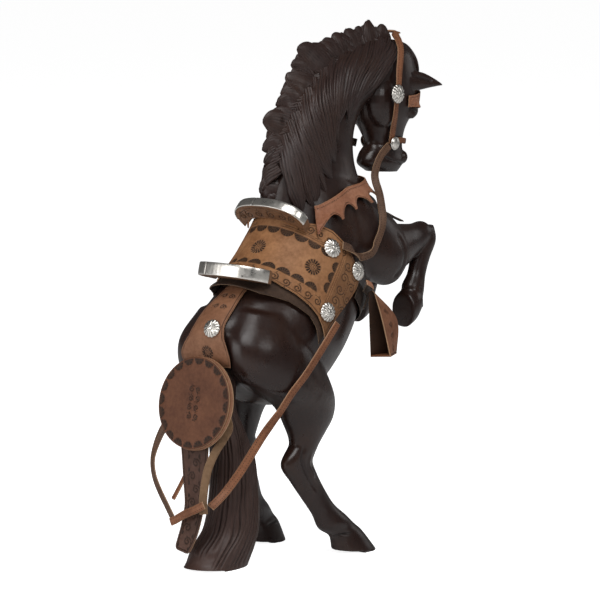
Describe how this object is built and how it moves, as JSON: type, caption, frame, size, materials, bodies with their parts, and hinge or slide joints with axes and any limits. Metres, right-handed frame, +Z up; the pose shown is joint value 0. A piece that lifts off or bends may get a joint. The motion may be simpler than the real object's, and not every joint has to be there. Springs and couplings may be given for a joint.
{
  "type": "rearing horse statuette",
  "caption": "Dark stained wooden horse carved rearing on its hind hooves and tail, in tooled leather saddle, bridle, collar, stirrups and crupper with silver conchos.",
  "frame": {"origin": "centre of the underside of the box round the whole object, on the surface it stands on", "axes": "+Z up, -Y the way the horse faces, -X its right side"},
  "size_m": [0.11, 0.255, 0.3676],
  "materials": {
    "stained_wood": "dark stained and polished",
    "saddle_leather": "tooled, waxed",
    "strap_leather": "tooled, waxed",
    "collar_leather": "pale, smooth",
    "dark_leather": "dark, matte",
    "silver_metal": "polished silver"
  },
  "bodies": {
    "root": {"bit_concho_left": "silver_metal", "bit_concho_right": "silver_metal", "breast_collar": "collar_leather", "breeching_left": "strap_leather", "breeching_right": "strap_leather", "brow_band": "collar_leather", "cantle": "saddle_leather", "cantle_trim": "silver_metal", "collar_end": "dark_leather", "cross_strap": "strap_leather", "crupper": "strap_leather", "crupper_disc": "strap_leather", "crupper_disc_back": "dark_leather", "girth": "dark_leather", "girth_end_left": "dark_leather", "girth_end_right": "dark_leather", "hanging_strap": "strap_leather", "headstall": "strap_leather", "horse": "stained_wood", "loop_strap_left": "strap_leather", "loop_strap_right": "collar_leather", "nose_band": "strap_leather", "pommel": "saddle_leather", "pommel_trim": "silver_metal", "rein_left": "strap_leather", "rein_right": "strap_leather", "rump_concho": "silver_metal", "saddle_concho_flap_left": "silver_metal", "saddle_concho_flap_right": "silver_metal", "saddle_concho_front_left": "silver_metal", "saddle_concho_front_right": "silver_metal", "saddle_concho_rear_left": "silver_metal", "saddle_concho_rear_right": "silver_metal", "saddle_leather": "saddle_leather", "saddle_skirt": "dark_leather", "stirrup_left": "strap_leather", "stirrup_right": "strap_leather", "stirrup_strap_left": "collar_leather", "stirrup_strap_right": "collar_leather", "temple_concho_left": "silver_metal", "temple_concho_right": "silver_metal"}
  },
  "joints": []
}
